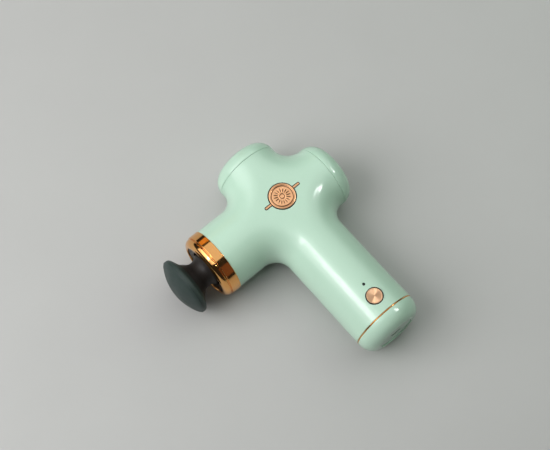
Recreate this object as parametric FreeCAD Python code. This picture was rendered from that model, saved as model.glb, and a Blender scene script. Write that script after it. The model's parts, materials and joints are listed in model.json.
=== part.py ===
"""A pocket percussion massager with a cross-shaped body, lying on its side.

Four arms of one radius meet at a right-angled crossing. The nose arm points along -X and
holds the piston, the handle arm along -Y and holds the cells, the rear arm along +X holds
the guide rod and the top arm along +Y holds the motor. The badge and the button face +Z.

Everything is drawn about the crossing of the arms, in millimetres, and moved at the end so
that the origin is the middle of the bounding box's base. On an arm, "along" is the distance
from the crossing outwards. A motor-driven crank pin runs in the slot of a Scotch yoke.
"""

import FreeCAD
import Part
import math
import os

V = FreeCAD.Vector

# ---- driving dimensions -------------------------------------------------------------------
ARM_R = 22.5            # outer radius of all four arms
WALL = 2.0              # thickness of the shells and caps
CORNER_R = 11.0         # plan radius of the fillets between the arms
NOSE_END = 54.4         # ends of the housing along each arm
LOBE_END = 35.0
HANDLE_END = 99.3
STROKE = 7.0            # full travel of the piston
SLIP = 0.1              # gap between parts that slide together by hand
EDGE = 0.2              # bevel on the visible edges of a seam

IN_R = ARM_R - WALL
CORNER_AT = ARM_R + CORNER_R      # centre of each corner fillet, from both axes
ARMS = {"rear": 0, "top": 90, "nose": 180, "handle": -90}

# nose
RING_R = 22.9
RING_FRONT = 65.8
GROOVE_AT = 61.0        # the groove between the ring's band and its round lip
COLLAR_R = 16.9
COLLAR_FRONT = 64.2
SPIGOT_R = IN_R - SLIP
SPIGOT_IN_R = SPIGOT_R - 2.0
SPIGOT_DEPTH = 5.0
HANDLE_SPIGOT_DEPTH = 3.0

# caps
SEAM = 0.15
LOBE_TIP = 45.5
LOBE_CORNER_R = 9.6
CAP_TIP = 111.4
CAP_FLAT_R = 13.2
RECESS_FLOOR = CAP_TIP - 1.4
TRIM_WIDTH = 1.0        # the thin metal ring at the handle's end
TRIM_R = 22.6
END_PLATE_R = 12.3
PORT_HALF = (4.47, 1.6)     # half the width and height of the charging port's metal shell
PORT_BACK = 104.2

# screws
SCREW_R = 1.45
SCREW_WELL_R = 2.9
SCREW_HEAD_Z = -9.0
BOARD_SCREW_R = 0.9
BOARD_SCREWS = [(9.0, -48.0), (-9.0, -48.0), (9.0, -94.0), (-9.0, -94.0)]
CAP_SCREW_AT = 8.6
CAP_SCREW_R = 1.2
CAP_SCREW_HEAD = (2.2, 1.3)     # radius and height

# drive
CRANK_R = STROKE / 2
CRANK_Y = (3.9, 7.9)
WEIGHT_R = 11.9
PIN_R = 2.5
RACE_GAP = 0.05
BEARING_R = 6.5
BEARING_HALF = 2.5
YOKE_HALF = 3.0
YOKE_SIDE_GAP = 0.8     # free play of the roller in the slot, along the stroke
SLOT_X = BEARING_R + YOKE_SIDE_GAP
SLOT_Z = BEARING_R + CRANK_R + 0.7
YOKE_X = SLOT_X + 4.0
YOKE_Z = SLOT_Z + 4.0
YOKE_BOSS_HALF = 3.6
TUBE_BACK = 16.0        # where the piston's tube begins
GUIDE_R = 2.2
PISTON_R = 8.0
PISTON_FRONT = 63.9
SOCKET_R = 5.05
SOCKET_DEPTH = 18.0
RUN_GAP = 0.04
SHAFT_R = 2.5
FRAME_HALF = 1.5
RAIL_IN = 15.2
RAIL_OUT = 23.0
BOSS_AT = 19.0
BOSS_R = 4.4
MOTOR_WALL = (9.5, 12.5)
STATOR_Y = (15.0, 26.0)
CAN_R = 14.6
MAGNET_R = (12.2, 13.5)
TEETH = 9
POLES = 12

# massage head
HEAD_TIP = 90.3
HEAD_R = 20.2
HEAD_RIM = (84.8, 18.9)     # where the domed face begins: along, radius
HEAD_BASE = 64.0
HEAD_FLANGE_R = 11.6
NECK_R = 9.3
CORE_R = (6.0, 13.0)        # the hard core's post and the plate at its front
CORE_PLATE = (80.0, 82.4)
STEM_R = 5.0
STEM_LENGTH = 16.5
O_RINGS = [HEAD_BASE - 12.5, HEAD_BASE - 5.0]
O_RING_R = 0.44
GROOVE_R = 4.1

# handle
CELL_R = 9.15
CELL_Y = (-96.5, -31.5)
CELL_Z = -2.0
BOARD_Z = (11.6, 13.2)
BUTTON_Y = -88.0
BUTTON_R = 5.2
BEZEL_R = (5.25, 5.8)
LED_Y = -78.0
LED_R = 1.0

# badge
BADGE_R = 8.85
GASKET = 0.55
BADGE_RIM = 1.1
BADGE_FLOOR = ARM_R - 1.2
RIM_RISE = 0.55         # how far the rim, the disc and the bars stand above the housing
DISC_RISE = 0.2
WING_RISE = 0.35
WING_FLOOR = ARM_R - 0.8
WING_END = 14.0
WING_WIDTH = 1.2

# The row's origin is the middle of the bounding box's base.
ORIGIN = V((HEAD_TIP - LOBE_TIP) / 2, (CAP_TIP - LOBE_TIP) / 2, RING_R)


# ---- drawing helpers ----------------------------------------------------------------------
def wire(points):
    """A closed wire in the XZ plane. An entry (through, end) is an arc to end."""
    edges = []
    first = at = V(points[0][0], 0, points[0][1])
    for item in points[1:] + [points[0]]:
        if isinstance(item[0], tuple):
            through, end = (V(p[0], 0, p[1]) for p in item)
            edges.append(Part.Arc(at, through, end).toShape())
            at = end
        else:
            end = V(item[0], 0, item[1])
            if (end - at).Length > 1e-7:
                edges.append(Part.LineSegment(at, end).toShape())
            at = end
    assert (at - first).Length < 1e-7
    return Part.Wire(edges)


def turned(points):
    """A solid turned about +X from (along, radius) points."""
    return Part.Face(wire(points)).revolve(V(0, 0, 0), V(1, 0, 0), 360)


def ring(r_in, r_out, a0, a1, bevel=0.0):
    """A plain ring about +X, with its outer edges bevelled."""
    outline = [(a0, r_in), (a0, r_out - bevel), (a0 + bevel, r_out), (a1 - bevel, r_out),
               (a1, r_out - bevel), (a1, r_in)]
    return turned([p for i, p in enumerate(outline) if i == 0 or p != outline[i - 1]])


def rod(r, a0, a1, bevel=0.0):
    """A solid rod about +X."""
    return ring(0.0, r, a0, a1, bevel)


def on_arm(shape, arm):
    """Turns what was drawn about +X onto an arm."""
    turned_shape = shape.copy()
    turned_shape.rotate(V(0, 0, 0), V(0, 0, 1), ARMS[arm])
    return turned_shape


def box(x, y, z):
    """A block between two limits on each axis."""
    return Part.makeBox(x[1] - x[0], y[1] - y[0], z[1] - z[0], V(x[0], y[0], z[0]))


def post(r, x, y, z0, z1):
    """An upright cylinder."""
    return Part.makeCylinder(r, z1 - z0, V(x, y, z0), V(0, 0, 1))


def moved(shape, x=0.0, y=0.0, z=0.0):
    copy = shape.copy()
    copy.translate(V(x, y, z))
    return copy


def around(shape, count, axis, phase=0.0):
    """Copies of a shape, evenly spaced about an axis through the crossing."""
    copies = []
    for i in range(count):
        copy = shape.copy()
        copy.rotate(V(0, 0, 0), axis, phase + 360.0 * i / count)
        copies.append(copy)
    return copies


def fuse(*shapes):
    return shapes[0].multiFuse(list(shapes[1:])).removeSplitter()


def cut(shape, *tools):
    return shape.cut(list(tools))


def corners(x, y):
    return [(sx * x, sy * y) for sx in (1, -1) for sy in (1, -1)]


def save(name, *solids):
    """Writes one node, moved to the row's frame. Several solids share it as a compound."""
    found = [s for shape in solids for s in shape.Solids]
    shape = found[0] if len(found) == 1 else Part.makeCompound(found)
    shape = moved(shape, ORIGIN.x, ORIGIN.y, ORIGIN.z)
    assert shape.isValid(), name
    shape.exportStep(f"parts/{name}.step")


# ---- housing ------------------------------------------------------------------------------
def corner_block(radius):
    """A quarter of the crossing: the arm's round edge carried round the corner fillet."""
    reach = CORNER_AT * 1.5
    half = radius * math.sqrt(0.5)
    profile = wire([
        (-radius, 0.0), ((-half, half), (0.0, radius)), (reach, radius), (reach, -radius),
        (0.0, -radius), ((-half, -half), (-radius, 0.0)),
    ])
    profile.translate(V(CORNER_AT, 0, 0))
    swept = Part.Face(profile).revolve(V(0, 0, 0), V(0, 0, 1), 90)
    swept.rotate(V(0, 0, 0), V(0, 0, 1), 180)
    swept.translate(V(CORNER_AT, CORNER_AT, 0))
    return swept.common(box((0, CORNER_AT), (0, CORNER_AT), (-radius, radius)))


def cross(radius, lobe, nose, handle, bevel=0.0):
    """The whole cross: four corner blocks and four round arms."""
    blocks = around(corner_block(radius), 4, V(0, 0, 1))
    ends = {"rear": lobe, "top": lobe, "nose": nose, "handle": handle}
    arms = [
        on_arm(turned([(CORNER_AT, 0), (CORNER_AT, radius), (end - bevel, radius),
                       (end, radius - bevel), (end, 0)] if bevel else
                      [(CORNER_AT, 0), (CORNER_AT, radius), (end, radius), (end, 0)]), arm)
        for arm, end in ends.items()
    ]
    return fuse(*blocks, *arms)


def badge_block(grow, top):
    """The badge's outline as a block up to a height, grown on every side."""
    disc = post(BADGE_R + grow, 0, 0, BADGE_FLOOR, top)
    wings = [wing(side, grow, WING_FLOOR, top) for side in (1, -1)]
    return fuse(disc, *wings)


def wing(side, grow, z0, z1):
    """One of the badge's two thin bars, round at its end."""
    half = WING_WIDTH / 2 + grow
    end = WING_END - half + grow
    bar = box((min(0, side * end), max(0, side * end)), (-half, half), (z0, z1))
    return fuse(bar, post(half, side * end, 0, z0, z1))


def housings():
    """The two half shells, parted at mid height, with their bosses and holes."""
    outer = cross(ARM_R, LOBE_END, NOSE_END, HANDLE_END, EDGE)
    inner = cross(IN_R, LOBE_END + 1, NOSE_END + 1, HANDLE_END + 1)
    shell = cut(outer, inner)
    everything = 150.0
    halves = {}
    for name, z in (("upper", (0, everything)), ("lower", (-everything, 0))):
        halves[name] = shell.common(box((-everything, everything), (-everything, everything), z))

    at_bosses = corners(BOSS_AT, BOSS_AT)
    bosses = [post(BOSS_R, x, y, FRAME_HALF, ARM_R).common(outer) for x, y in at_bosses]
    board = [post(2.2, x, y, BOARD_Z[1], ARM_R).common(outer) for x, y in BOARD_SCREWS]
    upper = fuse(halves["upper"], *bosses, *board)
    upper = cut(
        upper, badge_block(GASKET + SLIP / 2, ARM_R + 1),
        post(BEZEL_R[1], 0, BUTTON_Y, 15, 25), post(LED_R, 0, LED_Y, 15, 25),
        *[post(SCREW_R, x, y, 0, 9) for x, y in at_bosses],
        *[post(BOARD_SCREW_R, x, y, BOARD_Z[1], 17) for x, y in BOARD_SCREWS],
    )

    bosses = [post(BOSS_R, x, y, -ARM_R, -FRAME_HALF).common(outer) for x, y in at_bosses]
    lower = cut(
        fuse(halves["lower"], *bosses),
        *[post(SCREW_R + 0.15, x, y, -12, 0) for x, y in at_bosses],
        *[post(SCREW_WELL_R, x, y, -ARM_R, SCREW_HEAD_Z) for x, y in at_bosses],
    )
    plugs = [post(SCREW_WELL_R - 0.03, x, y, -ARM_R, -15.5).common(outer) for x, y in at_bosses]
    save("upper_housing", upper)
    save("lower_housing", lower)
    save("screw_plugs", *plugs)


def screw(r, length, head_r, head_h):
    """A pan-head screw standing head down, its head's upper face at z 0."""
    shank = post(r, 0, 0, 0, length)
    head = post(head_r, 0, 0, -head_h, 0)
    lower_rim = head.Edges[2]
    head = head.makeFillet(head_h * 0.45, [lower_rim])
    slot = [box((-head_r * 0.6, head_r * 0.6), (-0.3, 0.3), (-head_h, -head_h * 0.45))]
    slot.append(around(slot[0], 2, V(0, 0, 1), 90)[0])
    return cut(fuse(shank, head), *slot)


def fasteners():
    body_screw = screw(SCREW_R, 17.0, 2.6, 1.8)
    at_bosses = corners(BOSS_AT, BOSS_AT)
    save("housing_screws", *[moved(body_screw, x, y, SCREW_HEAD_Z) for x, y in at_bosses])
    board_screw = screw(BOARD_SCREW_R, 4.6, 1.8, 1.2)
    save("board_screws", *[moved(board_screw, x, y, BOARD_Z[0]) for x, y in BOARD_SCREWS])


# ---- caps and rings -----------------------------------------------------------------------
def oval_corner(start, tip, edge_r, flat_r):
    """A cap's outline: a quarter ellipse, drawn as arcs, that ends on a flat of radius flat_r."""
    steps = 6
    turn = [math.radians(90.0 * i / steps) for i in range(steps + 1)]
    at = [(start + (tip - start) * math.sin(t), flat_r + (edge_r - flat_r) * math.cos(t)) for t in turn]
    return [at[0]] + [(at[i + 1], at[i + 2]) for i in range(0, steps, 2)]


def crowned_corner(start, tip, edge_r, corner_r):
    """A cap's outline: a round corner, then a shallow crown, tangent to it, out to the axis."""
    rise = tip - start
    inset = edge_r - corner_r
    crown_r = (rise ** 2 + inset ** 2 - corner_r ** 2) / (2 * (rise - corner_r))
    meet = math.asin(inset / (crown_r - corner_r))
    half = (meet + math.pi / 2) / 2

    def on_corner(t):
        return (start + corner_r * math.cos(t), inset + corner_r * math.sin(t))

    crown_middle = (tip - crown_r * (1 - math.cos(meet / 2)), crown_r * math.sin(meet / 2))
    return [(start, edge_r), (on_corner(half), on_corner(meet)), (crown_middle, (tip, 0))]


def cap_shell(spigot_from, start, tip, outside, inside):
    """A domed cap with a spigot that goes into the housing."""
    solid = turned([(spigot_from, 0), (spigot_from, SPIGOT_R), (start, SPIGOT_R),
                    (start, ARM_R - EDGE)] + outside + [(tip, 0)])
    hollow = turned([(spigot_from, 0), (spigot_from, SPIGOT_IN_R)] + inside + [(tip - WALL, 0)])
    return cut(solid, hollow)


def lobe_caps():
    start = LOBE_END + SEAM
    outside = crowned_corner(start + EDGE, LOBE_TIP, ARM_R, LOBE_CORNER_R)
    inside = crowned_corner(start, LOBE_TIP - WALL, SPIGOT_IN_R, LOBE_CORNER_R - WALL)
    cap = cap_shell(LOBE_END - SPIGOT_DEPTH, start, LOBE_TIP, outside, inside)
    save("rear_cap", on_arm(cap, "rear"))
    save("top_cap", on_arm(cap, "top"))


def port_slot(half_w, half_h, a0, a1):
    """A rounded slot for the charging port, drawn along +X at the arm's axis."""
    bar = box((a0, a1), (-half_w + half_h, half_w - half_h), (-half_h, half_h))
    ends = [Part.makeCylinder(half_h, a1 - a0, V(a0, y, 0), V(1, 0, 0))
            for y in (half_w - half_h, half_h - half_w)]
    return fuse(bar, *ends)


def handle_end():
    """The handle's cap, its metal ring, the plate in its end and the charging port."""
    start = HANDLE_END + TRIM_WIDTH
    outside = oval_corner(start + EDGE, CAP_TIP, ARM_R, CAP_FLAT_R)
    inside = oval_corner(start, CAP_TIP - WALL, SPIGOT_IN_R, CAP_FLAT_R - WALL)
    cap = cap_shell(HANDLE_END - HANDLE_SPIGOT_DEPTH, start, CAP_TIP, outside, inside)
    floor = ring(0, END_PLATE_R, CAP_TIP - 3.4, CAP_TIP - WALL + 0.1)
    tubes = [Part.makeCylinder(3.0, CAP_TIP - 2.0 - start, V(start, y, 0), V(1, 0, 0))
             for y in (CAP_SCREW_AT, -CAP_SCREW_AT)]
    screw_holes = [Part.makeCylinder(CAP_SCREW_R + 0.1, 20, V(start - 5, y, 0), V(1, 0, 0))
                   for y in (CAP_SCREW_AT, -CAP_SCREW_AT)]
    head_wells = [Part.makeCylinder(2.4, 5, V(RECESS_FLOOR - 1.6, y, 0), V(1, 0, 0))
                  for y in (CAP_SCREW_AT, -CAP_SCREW_AT)]
    slot = port_slot(PORT_HALF[0] + SLIP, PORT_HALF[1] + SLIP, start, CAP_TIP + 1)
    recess = rod(END_PLATE_R + SLIP / 2, RECESS_FLOOR, CAP_TIP + 1)
    cap = cut(fuse(cap, floor, *tubes), recess, slot, *screw_holes, *head_wells)
    save("handle_cap", on_arm(cap, "handle"))

    plate = cut(ring(0, END_PLATE_R, RECESS_FLOOR, RECESS_FLOOR + 0.8, EDGE), slot)
    save("handle_end_plate", on_arm(plate, "handle"))
    trim = ring(SPIGOT_R + SLIP, TRIM_R, HANDLE_END, start, EDGE)
    save("handle_ring", on_arm(trim, "handle"))

    cap_screw = screw(CAP_SCREW_R, 11.2, *CAP_SCREW_HEAD)
    cap_screw.rotate(V(0, 0, 0), V(0, 1, 0), -90)
    cap_screws = [moved(cap_screw, RECESS_FLOOR - 1.6, y, 0) for y in (CAP_SCREW_AT, -CAP_SCREW_AT)]
    save("cap_screws", *[on_arm(s, "handle") for s in cap_screws])

    shell = cut(port_slot(*PORT_HALF, PORT_BACK, RECESS_FLOOR + 0.6),
                port_slot(PORT_HALF[0] - 0.3, PORT_HALF[1] - 0.3, PORT_BACK + 0.6, CAP_TIP))
    tongue = box((PORT_BACK + 0.6, RECESS_FLOOR - 0.6), (-3.3, 3.3), (-0.35, 0.35))
    save("charging_port", on_arm(shell, "handle"))
    save("charging_port_tongue", on_arm(tongue, "handle"))
    board = cut(ring(0, 15.0, PORT_BACK - 1.2, PORT_BACK),
                *[Part.makeCylinder(3.1, 20, V(start - 5, y, 0), V(1, 0, 0))
                  for y in (CAP_SCREW_AT, -CAP_SCREW_AT)])
    save("charging_board", on_arm(board, "handle"))


def nose_parts():
    """The metal ring round the nose, the black collar inside it and the wiper seal."""
    shoulder = NOSE_END
    metal = turned([
        (shoulder - SPIGOT_DEPTH, SPIGOT_IN_R), (shoulder - SPIGOT_DEPTH, SPIGOT_R),
        (shoulder, SPIGOT_R), (shoulder, RING_R - 0.3), (shoulder + 0.3, RING_R),
        (GROOVE_AT - 0.4, RING_R), ((GROOVE_AT - 0.1, RING_R - 0.15), (GROOVE_AT, RING_R - 1.3)),
        (GROOVE_AT + 0.5, RING_R - 1.3),
        ((GROOVE_AT + 0.8, RING_R - 0.72), (GROOVE_AT + 1.4, RING_R - 0.66)),
        ((RING_FRONT - 1.2, RING_R - 1.9), (RING_FRONT, RING_R - 4.6)),
        ((RING_FRONT - 0.25, RING_R - 5.15), (RING_FRONT - 0.8, RING_R - 5.35)),
        (COLLAR_FRONT + 0.1, COLLAR_R + 0.1), (57.6, COLLAR_R + 0.1), (57.6, SPIGOT_IN_R),
    ])
    save("nose_ring", on_arm(metal, "nose"))
    collar = turned([
        (54.0, 8.6), (54.0, SPIGOT_IN_R - SLIP), (57.5, SPIGOT_IN_R - SLIP), (57.5, COLLAR_R),
        (COLLAR_FRONT - 0.3, COLLAR_R), (COLLAR_FRONT, COLLAR_R - 0.3), (COLLAR_FRONT, 13.4),
        (COLLAR_FRONT - 0.4, 13.0), (59.6, 12.8), ((58.8, 11.4), (58.4, 8.6)),
    ])
    save("nose_collar", on_arm(collar, "nose"))
    seal = turned([
        (50.8, 9.6), (50.8, 13.0), (54.0, 13.0), (54.0, 9.2), (53.5, PISTON_R + 0.03),
        (52.9, PISTON_R + 0.03), (52.3, 9.6),
    ])
    save("wiper_seal", on_arm(seal, "nose"))


# ---- drive --------------------------------------------------------------------------------
def drive_frame():
    """The cast frame that carries the motor, the guide sleeve and the rear bush."""
    plate = cut(box((-RAIL_OUT, RAIL_OUT), (-RAIL_OUT, RAIL_OUT), (-FRAME_HALF, FRAME_HALF)),
                box((-RAIL_IN, RAIL_IN), (-BOSS_AT + 2, RAIL_OUT + 1), (-5, 5)))
    front = box((-26, -22), (-13, 13), (-13, 13))
    front = front.makeFillet(4.0, [e for e in front.Edges if is_along(e, 0)])
    rear = box((21, 25), (-9, 9), (-9, 9))
    rear = rear.makeFillet(3.0, [e for e in rear.Edges if is_along(e, 0)])
    wall = on_arm(rod(17.0, *MOTOR_WALL), "top")
    tube = on_arm(rod(6.5, MOTOR_WALL[0], 28.0), "top")
    holes = [
        box((-RAIL_OUT, 0), (-PISTON_R - 0.6, PISTON_R + 0.6), (-5, 5)),
        box((0, RAIL_OUT), (-5.8, 5.8), (-5, 5)),
        on_arm(rod(11.0, 20, 28), "nose"), on_arm(rod(5.0, 20, 28), "rear"),
        on_arm(rod(5.5, MOTOR_WALL[0] - 1, 29), "top"),
        *[post(3.2, x, y, -5, 5) for x, y in corners(BOSS_AT, BOSS_AT)],
    ]
    save("drive_frame", cut(fuse(plate, front, rear, wall, tube), *holes))
    grommet = cut(post(3.2, 0, 0, -FRAME_HALF, FRAME_HALF), post(SCREW_R + 0.15, 0, 0, -5, 5))
    save("frame_grommets", *[moved(grommet, x, y) for x, y in corners(BOSS_AT, BOSS_AT)])


def is_along(edge, axis):
    """Whether a straight edge runs along X (0), Y (1) or Z (2)."""
    a, b = (v.Point for v in edge.Vertexes)
    d = b - a
    return abs(tuple(d)[axis]) > 0.999 * d.Length


def motor():
    """An outrunner in the top arm: stator on the frame's tube, can and magnets on the shaft."""
    y_axis = V(0, 1, 0)
    core = on_arm(ring(6.5, 8.0, *STATOR_Y), "top")
    tooth = box((-0.9, 0.9), STATOR_Y, (7.6, 11.2))
    shoe = on_arm(ring(10.9, 11.6, *STATOR_Y), "top").common(box((-3.2, 3.2), STATOR_Y, (5, 12)))
    teeth = around(fuse(tooth, shoe), TEETH, y_axis)
    save("stator_core", fuse(core, *teeth))
    coil = cut(box((-2.2, 2.2), (STATOR_Y[0] - 1.1, STATOR_Y[1] + 1.1), (8.3, 10.5)),
               box((-0.9, 0.9), STATOR_Y, (7, 12)))
    coil = coil.makeFillet(0.8, [e for e in coil.Edges if is_along(e, 2) and far_out(e)])
    save("stator_coils", *around(coil, TEETH, y_axis))

    can = fuse(ring(MAGNET_R[1], CAN_R, 14.2, 29.0), ring(SHAFT_R, CAN_R, 28.8, 30.3, 0.6),
               ring(SHAFT_R, 5.0, 30.0, 31.5))
    vents = around(rod(2.0, 27, 33).translated(V(0, 0, 9.4)), 6, V(1, 0, 0))
    save("rotor_can", on_arm(cut(can, *vents), "top"))
    magnet_ring = on_arm(ring(*MAGNET_R, *STATOR_Y), "top")
    magnet = magnet_ring.common(box((-2.9, 2.9), STATOR_Y, (5, 15)))
    save("rotor_magnets", *around(magnet, POLES, y_axis))
    save("motor_shaft", on_arm(rod(SHAFT_R, 5.2, 31.5, 0.3), "top"))
    bearing = ring(SHAFT_R + 0.03, 5.5, 0, 4.0, EDGE)
    save("motor_bearings", *[on_arm(moved(bearing, a), "top") for a in (9.6, 23.9)])


def far_out(edge):
    """Whether an edge lies on the outside of a coil."""
    p = edge.Vertexes[0].Point
    return abs(p.x) > 2.0


def crank():
    """The crank with its pin and counterweight, the roller bearing and its clip."""
    web = on_arm(rod(9.0, *CRANK_Y), "top")
    hub = on_arm(rod(4.5, CRANK_Y[1], 9.2), "top")
    weight = on_arm(rod(WEIGHT_R, *CRANK_Y, 0.5), "top").common(box((-20, 20), (0, 20), (-20, -3)))
    shoulder = moved(on_arm(rod(3.4, BEARING_HALF, CRANK_Y[0] + 0.5), "top"), z=CRANK_R)
    pin = moved(on_arm(rod(PIN_R, -3.3, CRANK_Y[0] + 0.5), "top"), z=CRANK_R)
    bore = on_arm(rod(SHAFT_R, 5.2, 10), "top")
    save("crank", cut(fuse(web, hub, weight, shoulder, pin), bore))
    inner = ring(PIN_R, 4.0, -BEARING_HALF, BEARING_HALF, 0)
    save("roller_inner_race", moved(on_arm(inner, "top"), z=CRANK_R))
    outer = ring(4.0 + RACE_GAP, BEARING_R, -BEARING_HALF, BEARING_HALF, 0.3)
    save("roller_outer_race", moved(on_arm(outer, "top"), z=CRANK_R))
    clip = ring(PIN_R, 3.7, -BEARING_HALF - 0.6, -BEARING_HALF, 0)
    save("roller_clip", moved(on_arm(clip, "top"), z=CRANK_R))


def piston():
    """The yoke, the piston tube it drives, its guide rod and what they slide in."""
    frame = box((-YOKE_X, YOKE_X), (-YOKE_HALF, YOKE_HALF), (-YOKE_Z, YOKE_Z))
    frame = frame.makeFillet(4.0, [e for e in frame.Edges if is_along(e, 1)])
    slot = box((-SLOT_X, SLOT_X), (-5, 5), (-SLOT_Z, SLOT_Z))
    slot = slot.makeFillet(2.0, [e for e in slot.Edges if is_along(e, 1)])
    neck = box((-TUBE_BACK, 1 - YOKE_X), (-YOKE_HALF, YOKE_HALF), (-4, 4))
    stub = on_arm(rod(5.0, TUBE_BACK, 25.5, 0.4), "nose")
    boss = box((YOKE_X - 1, 16.5), (-YOKE_BOSS_HALF, YOKE_BOSS_HALF), (-5, 5))
    pin_hole = post(1.5, -20, 0, -10, 10)
    guide_hole = on_arm(rod(GUIDE_R, YOKE_X + 1.2, 18), "rear")
    save("yoke", cut(fuse(cut(frame, slot), neck, stub, boss), pin_hole, guide_hole))
    save("yoke_pin", post(1.5, -20, 0, -PISTON_R + 0.2, PISTON_R - 0.2))

    tube = turned([
        (TUBE_BACK, 5.0), (TUBE_BACK, PISTON_R - 0.4), (TUBE_BACK + 0.4, PISTON_R),
        (PISTON_FRONT - 0.5, PISTON_R),
        (PISTON_FRONT, PISTON_R - 0.5), (PISTON_FRONT, SOCKET_R + 0.5),
        (PISTON_FRONT - 0.5, SOCKET_R), (PISTON_FRONT - SOCKET_DEPTH, SOCKET_R),
        (PISTON_FRONT - SOCKET_DEPTH, 0), (26.0, 0), (26.0, 5.0),
    ])
    save("piston_tube", cut(on_arm(tube, "nose"), pin_hole))
    save("guide_rod", on_arm(rod(GUIDE_R, YOKE_X + 1.2, 31.5, 0.4), "rear"))
    save("guide_sleeve", on_arm(ring(PISTON_R + RUN_GAP, 11.0, 22.5, 50.5, 0.3), "nose"))
    save("rear_bush", on_arm(ring(GUIDE_R + RUN_GAP, 5.0, 21.0, 29.0, 0.3), "rear"))

    carrier = turned([
        (43.0, 11.0), (43.0, 13.2), (44.8, 13.2), (44.8, 18.3), (43.0, 18.3), (43.0, 20.3),
        (48.9, 20.3), (48.9, 18.3), (47.2, 18.3), (47.2, 13.2), (48.9, 13.2), (48.9, 11.0),
    ])
    holes = around(rod(1.9, 40, 52).translated(V(0, 0, 15.75)), 8, V(1, 0, 0))
    save("sleeve_carrier", on_arm(cut(carrier, *holes), "nose"))


# ---- massage head -------------------------------------------------------------------------
def massage_head():
    """The push-in head: a hard core with a stem, two rings on it and a soft mushroom."""
    base = HEAD_BASE
    stem_end = base - STEM_LENGTH
    post_r, plate_r = CORE_R
    back, front = CORE_PLATE
    core = [(stem_end, 0), (stem_end, STEM_R - 0.6), (stem_end + 0.6, STEM_R)]
    for at in O_RINGS:
        core += [(at - 0.8, STEM_R), (at - 0.8, GROOVE_R), (at + 0.8, GROOVE_R), (at + 0.8, STEM_R)]
    core += [(base, STEM_R), (base, 9.6), (base + 1.4, 9.6), (base + 1.4, post_r), (back, post_r),
             (back, plate_r), (front, plate_r), (front, 0)]
    save("head_core", on_arm(turned(core), "nose"))
    o_ring = Part.makeTorus(GROOVE_R + O_RING_R, O_RING_R, V(0, 0, 0), V(1, 0, 0))
    save("head_o_rings", *[on_arm(moved(o_ring, at), "nose") for at in O_RINGS])
    rim_at, rim_r = HEAD_RIM
    rise = HEAD_TIP - rim_at
    face_r = (rim_r ** 2 + rise ** 2) / (2 * rise)
    half = math.asin(rim_r / face_r) / 2
    face_arc = ((HEAD_TIP - face_r * (1 - math.cos(half)), face_r * math.sin(half)), (HEAD_TIP, 0))
    pad = turned([
        (base, 9.6), (base, HEAD_FLANGE_R - 0.4),
        ((base + 0.3, HEAD_FLANGE_R), (base + 0.8, HEAD_FLANGE_R - 0.1)),
        ((base + 5.8, NECK_R), (base + 10.6, 11.6)),
        ((HEAD_TIP - 13.7, 13.2), (HEAD_TIP - 12.1, 15.8)),
        ((HEAD_TIP - 11.1, 17.8), (HEAD_TIP - 10.3, 19.2)),
        ((HEAD_TIP - 9.1, HEAD_R - 0.1), (HEAD_TIP - 7.9, HEAD_R)),
        ((HEAD_TIP - 6.5, HEAD_R - 0.3), HEAD_RIM),
        face_arc, (front, 0), (front, plate_r), (back, plate_r), (back, post_r), (base + 1.4, post_r),
        (base + 1.4, 9.6),
    ])
    save("head_pad", on_arm(pad, "nose"))


# ---- handle -------------------------------------------------------------------------------
def cells():
    """Two cells side by side, their tabs and the tray that they lie in."""
    cell = ring(0, CELL_R, -CELL_Y[1], -CELL_Y[0] - 0.5, 0.6)
    nub = ring(0, 2.8, -CELL_Y[0] - 1.0, -CELL_Y[0])
    one = on_arm(fuse(cell, nub), "handle")
    save("battery_cells", *[moved(one, x, 0, CELL_Z) for x in (CELL_R + 0.1, -CELL_R - 0.1)])
    rear_tab = box((-12, 12), (CELL_Y[1], CELL_Y[1] + 0.3), (CELL_Z - 3, CELL_Z + 3))
    tabs = [box((x - 3, x + 3), (CELL_Y[0] - 0.3, CELL_Y[0]), (CELL_Z - 3, BOARD_Z[0]))
            for x in (CELL_R, -CELL_R)]
    save("battery_tabs", rear_tab, *tabs)

    floor = box((-12, 12), (-98.6, -29.2), (-13.6, -11.3))
    front = on_arm(rod(19.8, 29.2, 31.1), "handle")
    back = on_arm(rod(SPIGOT_IN_R - SLIP, 97.0, 98.6), "handle")
    top = box((-25, 25), (-110, -20), (10.0, 25))
    screws = [on_arm(Part.makeCylinder(CAP_SCREW_R, 40, V(80, y, 0), V(1, 0, 0)), "handle")
              for y in (CAP_SCREW_AT, -CAP_SCREW_AT)]
    save("battery_tray", cut(fuse(floor, front, back), top, *screws))


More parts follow.
